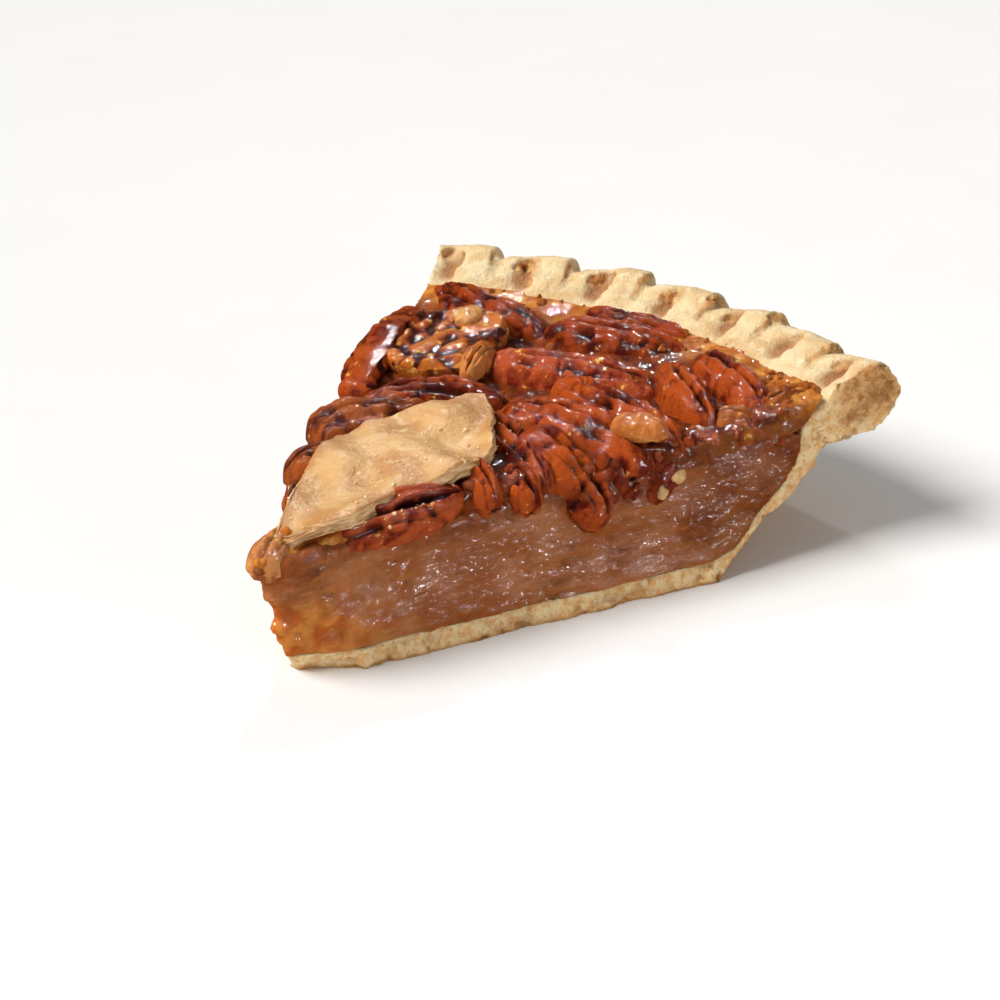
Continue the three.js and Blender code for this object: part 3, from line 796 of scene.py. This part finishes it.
class Look:
    """A procedural material built from a few nodes. Coordinates are in millimetres.

    radius is how far red, green and blue light spread under the surface, against each other.
    """

    def __init__(self, name, radius=(1, 0.3, 0.1), **sockets):
        self.material = bpy.data.materials.new(name)
        self.material.use_nodes = True
        self.tree = self.material.node_tree
        self.shader = self.tree.nodes["Principled BSDF"]
        for socket, value in sockets.items():
            self.shader.inputs[socket.replace("_", " ")].default_value = value
        self.shader.inputs["Subsurface Radius"].default_value = radius
        scale = self.node("VectorMath", operation="SCALE")
        self.feed(scale.inputs[0], self.node("TexCoord").outputs["Object"])
        scale.inputs["Scale"].default_value = 1 / MM
        self.place = scale.outputs[0]

    def node(self, kind, **settings):
        node = self.tree.nodes.new("ShaderNode" + kind)
        for key, value in settings.items():
            setattr(node, key, value)
        return node

    def feed(self, socket, value):
        if isinstance(value, bpy.types.NodeSocket):
            self.tree.links.new(value, socket)
        else:
            socket.default_value = value

    def noise(self, size, detail=3, roughness=0.55, stretch=None, distortion=0.0):
        node = self.node("TexNoise")
        self.feed(node.inputs["Vector"], self.stretched(stretch) if stretch else self.place)
        node.inputs["Scale"].default_value = 1 / size
        node.inputs["Detail"].default_value = detail
        node.inputs["Roughness"].default_value = roughness
        node.inputs["Distortion"].default_value = distortion
        return node.outputs[0]

    def cells(self, size):
        node = self.node("TexVoronoi")
        self.feed(node.inputs["Vector"], self.place)
        node.inputs["Scale"].default_value = 1 / size
        return node.outputs["Distance"]

    def stretched(self, factors):
        node = self.node("VectorMath", operation="MULTIPLY")
        self.feed(node.inputs[0], self.place)
        node.inputs[1].default_value = factors
        return node.outputs[0]

    def attribute(self, name):
        return self.node("Attribute", attribute_name=name).outputs["Fac"]

    def maths(self, operation, a, b):
        node = self.node("Math", operation=operation)
        self.feed(node.inputs[0], a)
        self.feed(node.inputs[1], b)
        return node.outputs[0]

    def plus(self, a, b):
        return self.maths("ADD", a, b)

    def times(self, a, b):
        return self.maths("MULTIPLY", a, b)

    def range(self, value, low, high, to_low=0.0, to_high=1.0):
        """The value taken smoothly from between low and high to between to_low and to_high."""
        node = self.node("MapRange", interpolation_type="SMOOTHSTEP")
        self.feed(node.inputs[0], value)
        for index, number in enumerate((low, high, to_low, to_high), 1):
            node.inputs[index].default_value = number
        return node.outputs[0]

    def mix(self, share, a, b):
        """Colour a where share is 0 and b where it is 1."""
        node = self.node("Mix", data_type="RGBA")
        self.feed(node.inputs[0], share)
        self.feed(node.inputs[6], (*a, 1) if isinstance(a, tuple) else a)
        self.feed(node.inputs[7], (*b, 1) if isinstance(b, tuple) else b)
        return node.outputs[2]

    def drive(self, name, socket):
        """Feeds one of the shader's inputs from a node."""
        self.tree.links.new(socket, self.shader.inputs[name])

    def relief(self, *heights):
        """Bump from (height, depth in mm) pairs, laid one over the other."""
        normal = None
        for height, depth in heights:
            node = self.node("Bump")
            node.inputs["Distance"].default_value = depth * MM
            self.feed(node.inputs["Height"], height)
            if normal:
                self.tree.links.new(normal, node.inputs["Normal"])
            normal = node.outputs[0]
        self.drive("Normal", normal)

    def glaze(self, size, depth):
        """Gentle unevenness of the clear coat, depth in mm."""
        node = self.node("Bump")
        node.inputs["Distance"].default_value = depth * MM
        self.feed(node.inputs["Height"], self.noise(size, 2))
        self.drive("Coat Normal", node.outputs[0])


def pastry_look():
    look = Look("pastry", (1, 0.6, 0.3), Roughness=0.82, Specular_IOR_Level=0.3,
                Subsurface_Weight=0.15, Subsurface_Scale=0.002)
    pale = look.mix(look.range(look.noise(7, 3), 0.35, 0.68), (0.85, 0.68, 0.4), (0.72, 0.49, 0.24))
    pale = look.mix(look.range(look.noise(1.8, 4), 0.5, 0.75), pale, (0.9, 0.77, 0.52))
    pale = look.mix(look.range(look.noise(0.9, 4), 0.6, 0.74), pale, (0.56, 0.34, 0.15))
    # Painted shade: the thumb dents, and noise round them, are browned where shade falls in the recesses.
    dent = look.plus(look.attribute("dent"), look.times(look.noise(2.4, 3), 0.5))
    skin = look.mix(look.range(dent, 0.4, 1.0), pale, (0.44, 0.21, 0.085))
    grain = look.range(look.noise(1.6, 5, 0.7), 0.4, 0.62)
    crumb = look.mix(grain, (0.96, 0.72, 0.4), (0.82, 0.44, 0.15))
    rim_grain = look.range(look.noise(1.9, 5, 0.65), 0.36, 0.66)
    rim_crumb = look.mix(rim_grain, (0.82, 0.48, 0.19), (0.5, 0.2, 0.05))
    crumb = look.mix(look.attribute("rim"), crumb, rim_crumb)
    pits = look.range(look.noise(0.8, 4, 0.65), 0.6, 0.72)
    crumb = look.mix(look.times(pits, 0.6), crumb, (0.5, 0.2, 0.06))
    colour = look.mix(look.attribute("cut"), skin, crumb)
    patches = look.range(look.noise(3, 3), 0.3, 0.6, 0.4, 1)
    toast = look.times(look.attribute("skin"), patches)
    look.drive("Base Color", look.mix(toast, colour, (0.66, 0.3, 0.08)))
    look.relief((look.noise(1.4, 5, 0.65), 0.7), (look.noise(0.45, 3), 0.3))
    return look.material


def custard_look():
    look = Look("custard", (1, 0.4, 0.15), IOR=1.4, Specular_IOR_Level=0.12, Coat_Weight=0.8,
                Coat_Roughness=0.06, Subsurface_Scale=0.0035)
    look.drive("Subsurface Weight", look.range(look.attribute("stain"), 0, 0.8, 0.6, 0.05))
    cloud = look.range(look.noise(11, 4, 0.6, stretch=(1, 1, 1.7)), 0.34, 0.66)
    body = look.mix(cloud, (0.34, 0.095, 0.02), (0.47, 0.18, 0.07))
    outer = look.mix(cloud, (0.2, 0.045, 0.009), (0.3, 0.09, 0.02))
    body = look.mix(look.attribute("outer"), body, outer)
    fleck = look.range(look.noise(2.2, 4, 0.65, stretch=(0.6, 0.6, 2)), 0.58, 0.76)
    body = look.mix(fleck, body, (0.52, 0.26, 0.15))
    dark = look.range(look.noise(3.2, 4, 0.6, stretch=(0.7, 0.7, 1.6)), 0.58, 0.76)
    body = look.mix(dark, body, (0.24, 0.055, 0.01))
    patches = look.range(look.noise(4, 3), 0.35, 0.65)
    orange = look.mix(patches, (0.5, 0.11, 0.016), (0.68, 0.27, 0.06))
    body = look.mix(look.attribute("tip"), body, orange)
    blots = look.range(look.noise(2, 3), 0.4, 0.65)
    stained = look.mix(blots, (0.1, 0.012, 0.004), (0.3, 0.06, 0.01))
    look.drive("Base Color", look.mix(look.attribute("stain"), body, stained))
    streaks = look.noise(2.4, 4, 0.62, stretch=(0.7, 0.7, 2), distortion=0.8)
    torn = look.times(streaks, look.range(look.attribute("wet"), 0, 1, 0.35, 1))
    look.relief((torn, 1.7), (look.noise(0.7, 3), 0.25))
    look.glaze(1.3, 0.5)
    look.drive("Roughness", look.range(look.noise(3.5, 3), 0.35, 0.65, 0.12, 0.3))
    return look.material


def syrup_look():
    look = Look("syrup", (1, 0.3, 0.08), Roughness=0.35, IOR=1.42, Specular_IOR_Level=0.05,
                Coat_Weight=0.55, Coat_Roughness=0.03, Subsurface_Weight=0.3, Subsurface_Scale=0.002)
    clouds = look.range(look.noise(3.4, 4), 0.36, 0.68)
    body = look.mix(clouds, (0.075, 0.01, 0.003), (0.26, 0.05, 0.008))
    thin_clouds = look.range(look.noise(3.2, 4), 0.38, 0.66)
    amber = look.mix(thin_clouds, (0.4, 0.1, 0.01), (0.66, 0.27, 0.045))
    body = look.mix(look.attribute("rimward"), body, amber)
    cut = look.mix(look.noise(3, 3), (0.17, 0.045, 0.012), (0.3, 0.09, 0.022))
    look.drive("Base Color", look.mix(look.attribute("cut"), body, cut))
    look.relief((look.noise(2.6, 3, 0.5), 0.8), (look.noise(0.7, 3), 0.2))
    look.glaze(1.8, 0.35)
    return look.material


# Colours: painted shade deep in the grooves, the body, the ridges (also a tenth brighter as painted
# highlight where the relief stands high), the pale broken spots; then how few those are.
PECAN_FINISHES = {
    "red": ((0.022, 0.002, 0.001), (0.12, 0.009, 0.003), (0.35, 0.058, 0.008), (0.74, 0.33, 0.07), 0.64),
    "rosy": ((0.03, 0.003, 0.002), (0.16, 0.012, 0.005), (0.38, 0.065, 0.016), (0.78, 0.42, 0.1), 0.6),
    "dark": ((0.014, 0.002, 0.001), (0.085, 0.007, 0.002), (0.28, 0.042, 0.006), (0.58, 0.24, 0.05), 0.66),
    "brown": ((0.025, 0.004, 0.002), (0.13, 0.02, 0.005), (0.32, 0.075, 0.014), (0.6, 0.28, 0.09), 0.65),
    "broken": ((0.05, 0.007, 0.003), (0.24, 0.034, 0.007), (0.48, 0.135, 0.02), (0.78, 0.44, 0.1), 0.57),
    "amber": ((0.06, 0.009, 0.002), (0.2, 0.04, 0.007), (0.38, 0.11, 0.018), (0.62, 0.34, 0.09), 0.62),
    "almond": ((0.18, 0.035, 0.007), (0.4, 0.11, 0.022), (0.56, 0.21, 0.055), (0.74, 0.42, 0.14), 0.66),
    "cream": ((0.35, 0.12, 0.04), (0.62, 0.36, 0.15), (0.72, 0.46, 0.22), (0.78, 0.56, 0.3), 0.6),
    "soaked": ((0.2, 0.035, 0.012), (0.25, 0.05, 0.02), (0.36, 0.09, 0.03), (0.5, 0.2, 0.07), 0.64),
    "caramel": ((0.34, 0.09, 0.025), (0.4, 0.13, 0.045), (0.62, 0.26, 0.08), (0.7, 0.38, 0.14), 0.6),
    "sodden": ((0.05, 0.006, 0.002), (0.15, 0.014, 0.004), (0.27, 0.04, 0.007), (0.6, 0.28, 0.08), 0.66),
    "tan": ((0.4, 0.12, 0.03), (0.6, 0.27, 0.08), (0.74, 0.42, 0.15), (0.8, 0.52, 0.22), 0.6),
}


def pecan_look(name):
    deep, body, ridge, pale, few = PECAN_FINISHES[name]
    # The ridge colour a tenth brighter, painted as highlight where the relief stands high.
    crest_highlight = tuple(1.1 * a for a in ridge)
    look = Look("pecan_" + name, IOR=1.42, Specular_IOR_Level=0.08, Coat_Weight=0.7,
                Coat_Roughness=0.035, Subsurface_Weight=0.15, Subsurface_Scale=0.0015)
    colour = look.mix(look.range(look.noise(4.2, 3), 0.4, 0.7), body, ridge)
    lifted = look.plus(look.attribute("ridge"), look.noise(1.3, 3))
    colour = look.mix(look.range(lifted, 0.35, 0.95), colour, crest_highlight)
    colour = look.mix(look.range(look.noise(2.1, 4, 0.6), few, few + 0.07), colour, pale)
    # Painted shade: grooves, crevices and noise darken the kernel, less where the relief stands high.
    sunk = look.plus(look.attribute("groove"), look.times(look.noise(1.4, 3), 0.3))
    sunk = look.plus(sunk, look.times(look.attribute("ridge"), -0.35))
    look.drive("Base Color", look.mix(look.range(sunk, 0.14, 0.44), colour, deep))
    look.relief((look.noise(1.1, 3, 0.6), 0.3), (look.noise(0.45, 2), 0.12))
    look.glaze(0.95, 0.19)
    look.drive("Roughness", look.range(look.noise(2.2, 3), 0.35, 0.65, 0.3, 0.5))
    return look.material


def leaf_look():
    look = Look("leaf_pastry", (1, 0.55, 0.25), Roughness=0.6, Coat_Weight=0.15,
                Coat_Roughness=0.25, Subsurface_Weight=0.15, Subsurface_Scale=0.002)
    body = look.mix(look.range(look.noise(8, 4), 0.38, 0.64), (0.66, 0.38, 0.135), (0.5, 0.23, 0.06))
    body = look.mix(look.range(look.noise(2.4, 4), 0.55, 0.75), body, (0.72, 0.5, 0.23))
    # Painted highlight: small pale dots stand for light caught on the pastry's pimples.
    highlight_dots = look.range(look.cells(1.3), 0.16, 0.08)
    body = look.mix(look.times(highlight_dots, 0.4), body, (0.85, 0.7, 0.45))
    toast = look.times(look.attribute("toast"), look.range(look.noise(4.4, 3), 0.34, 0.62))
    body = look.mix(look.times(toast, 0.85), body, (0.46, 0.19, 0.045))
    flakes = look.range(look.noise(1.4, 3, stretch=(0.5, 0.5, 3)), 0.4, 0.65)
    body = look.mix(look.attribute("edge"), body, look.mix(flakes, (0.82, 0.54, 0.25), (0.5, 0.24, 0.08)))
    under = look.times(look.attribute("under"), 0.6)
    look.drive("Base Color", look.mix(under, body, (0.36, 0.16, 0.06)))
    look.relief((look.noise(1.6, 4, 0.6), 0.4), (look.noise(0.5, 2), 0.1))
    look.glaze(0.8, 0.2)
    return look.material


def crumb_look():
    look = Look("crumbs", Roughness=0.7)
    patches = look.range(look.noise(0.9, 3), 0.4, 0.65)
    look.drive("Base Color", look.mix(patches, (0.86, 0.62, 0.3), (0.7, 0.42, 0.16)))
    look.relief((look.noise(0.6, 3), 0.1))
    return look.material


# ---- assembly ----

def dress(piece, look, slot, *nodes):
    piece.data.shade_smooth()
    piece.data.materials.clear()
    piece.data.materials.append(look)
    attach(piece, "root")
    if nodes:
        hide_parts(*nodes)


kernels = [make_kernel(seed, spec) for seed, spec in enumerate(KERNELS)]
finishes = {name: pecan_look(name) for name in PECAN_FINISHES}
for kernel, (name, *_, finish, _) in zip(kernels, KERNELS):
    dress(kernel, finishes[finish], "kernel", f"pecan_{name}")
dress(make_crust(), pastry_look(), "pastry", "crust")
dress(make_custard(), custard_look(), "custard", "custard")
syrup = make_syrup(kernels)
dress(syrup, syrup_look(), "syrup", "syrup")
leaf = make_leaf()
dress(leaf, leaf_look(), "leaf_pastry", "pastry_leaf")
height = surface_under([syrup, leaf, *kernels])

# Nut bits: some anywhere between the pecans, more along the rim.
NUT_BITS = 90
n = np.arange(NUT_BITS)
x, y = scatter(NUT_BITS, 5, 30, 104)
rim_x, rim_y = scatter(NUT_BITS, 15, 101, 110)
x, y = np.where(n % 2, x, rim_x), np.where(n % 2, y, rim_y)
sizes = (0.6 + 1.4 * hash3(n, 5, 9) ** 1.5) * np.where(n % 2, 1, 0.7)
z = height(x, y)
low = z < syrup_top(x, y) + 1.5
places = np.column_stack([x, y, z - 0.15 * sizes])[low]
dress(lumps("nut_bits", places, sizes[low], 0.7, 5), finishes["amber"], "kernel")

# Broken pecan pieces and syrup-soaked crumbs that fill the edge of the layer at each cut.
EDGE_BITS = 110
n = np.arange(EDGE_BITS)
r = 34 + 75 * ((n // 2 + hash3(n, 6, 1)) / (EDGE_BITS / 2))
sizes = 0.9 + 1.5 * hash3(n, 6, 4)
x, y = by_wall(r, np.where(n % 2, 1, -1), 0.75 * sizes + 2 * hash3(n, 6, 2))
places = np.column_stack([x, y, 23.4 + 4.2 * hash3(n, 6, 3)])
for part, finish in enumerate(("soaked", "red", "dark")):
    chosen = n % 3 == part
    bits = lumps(f"edge_bits_{finish}", places[chosen], sizes[chosen], 0.7, 6 + part, 0.45)
    dress(bits, finishes[finish], "kernel")

# Dark syrup-soaked pieces in the near face, where the syrup has run down.
STAIN_BITS = 26
n = np.arange(STAIN_BITS)
sizes = 1.3 + 1.3 * hash3(n, 9, 2)
z = 19.6 + 5.4 * hash3(n, 9, 3)
inset = 0.62 * sizes - NEAR_WALL_LEAN * (1 - z / CUSTARD_TOP)
places = np.column_stack([*by_wall(62 + 17 * hash3(n, 9, 1), -1, inset), z])
dress(lumps("stain_bits", places, sizes, 0.7, 9, 0.45), finishes["sodden"], "kernel")

# The tan chip on the half that lies flat side up.
CHIP_AT = (85.2, 26.6)
CHIP_SIZE = 3.9
chip_z = height(*np.reshape(CHIP_AT, (2, 1)))[0] + 0.3
chip = lumps("tan_chip", [(*CHIP_AT, chip_z)], [CHIP_SIZE], 0.45, 21, 0.35)
dress(chip, finishes["tan"], "kernel")

# Two pale spots where the knife went through kernels in the near face.
CREAM_SPOTS = [(69.4, -34.9, 22.2), (66.1, -33.7, 19.8)]
dress(lumps("cream_spots", CREAM_SPOTS, [1.5, 1.4], 0.7, 11, 0.4), finishes["cream"], "kernel")

# Pastry crumbs on and round the leaf.
CRUMBS = 90
n = np.arange(CRUMBS)
x, y = -2 + 58 * hash3(n, 31, 1), -14 + 14 * hash3(n, 31, 2)
z = height(x, y)
resting = z > 20
places = np.column_stack([x, y, z])[resting]
sizes = (0.14 + 0.32 * hash3(n, 31, 3) ** 2)[resting]
crumbs = lumps("pastry_crumbs", places, sizes, 0.8, 31, rings=7, around=10)
dress(crumbs, crumb_look(), "leaf_pastry")


# ---- floor, light and camera ----

def place_in_scene(name, data, at=(0, 0, 0), facing=None):
    """Links a new object, turned to look along facing. Lengths are in metres."""
    item = bpy.data.objects.new(name, data)
    bpy.context.scene.collection.objects.link(item)
    item.location = at
    if facing:
        item.rotation_euler = facing.to_track_quat("-Z", "Y").to_euler()
    return item


def floor_material():
    look = Look("floor", Roughness=0.5)
    look.drive("Base Color", look.mix(look.noise(40, 2), (0.84, 0.845, 0.85), (0.88, 0.885, 0.89)))
    return look.material


FLOOR_HALF = 3
corners = [(FLOOR_HALF * x, FLOOR_HALF * y, 0) for x, y in ((-1, -1), (1, -1), (1, 1), (-1, 1))]
floor = place_in_scene("floor", bpy.data.meshes.new("floor"))
floor.data.from_pydata(corners, [], [(0, 1, 2, 3)])
floor.data.materials.append(floor_material())
floor.visible_glossy = False

world = bpy.data.worlds.new("studio")
world.use_nodes = True
background = world.node_tree.nodes["Background"]
background.inputs["Color"].default_value = (1, 0.99, 0.98, 1)
background.inputs["Strength"].default_value = 0.27
world.cycles_visibility.glossy = False
bpy.context.scene.world = world
bpy.context.scene.view_settings.view_transform = "Standard"

LAMPS_FACE = Vector((0, 0, 0.02))


def softbox(name, at, power, size=(0.05, 0.05), glints_only=True):
    """A lamp that only shows as glints in what is glossy, or one that only lights what isn't."""
    data = bpy.data.lights.new(name, "AREA")
    data.shape = "RECTANGLE"
    data.size, data.size_y = size
    data.energy = power
    light = place_in_scene(name, data, at, LAMPS_FACE - Vector(at))
    light.visible_diffuse = not glints_only
    light.visible_glossy = glints_only


sun = bpy.data.lights.new("key", "SUN")
sun.energy = 3.9
sun.angle = math.radians(30)
sun.color = (1, 0.975, 0.94)
key = place_in_scene("key", sun, facing=Vector((0.62, -0.5, -0.9)))
key.visible_glossy = False
softbox("glints_back", (0.45, 0.35, 0.75), 4.6)
softbox("glints_top", (-0.1, 0.1, 1), 3.6)
softbox("glints_left", (-0.6, 0.5, 0.7), 3.4)
softbox("glints_front", (-0.4, -0.9, 0.7), 3.2)
softbox("glints_low", (0.05, -0.9, 0.16), 2.4, (0.2, 0.03))
softbox("fill", (-0.2, -1.1, 0.3), 2.4, (0.6, 0.4), glints_only=False)

CAMERA_AT = (-0.393, -0.29845, 0.2496)
YAW = math.radians(37.15)
DOWN = math.radians(25.83)
aim = Vector((math.cos(YAW) * math.cos(DOWN), math.sin(YAW) * math.cos(DOWN), -math.sin(DOWN)))
camera = place_in_scene("camera", bpy.data.cameras.new("camera"), CAMERA_AT, aim)
camera.data.lens = 103.5
camera.data.sensor_width = 36
camera.data.clip_start = 0.01
bpy.context.scene.camera = camera
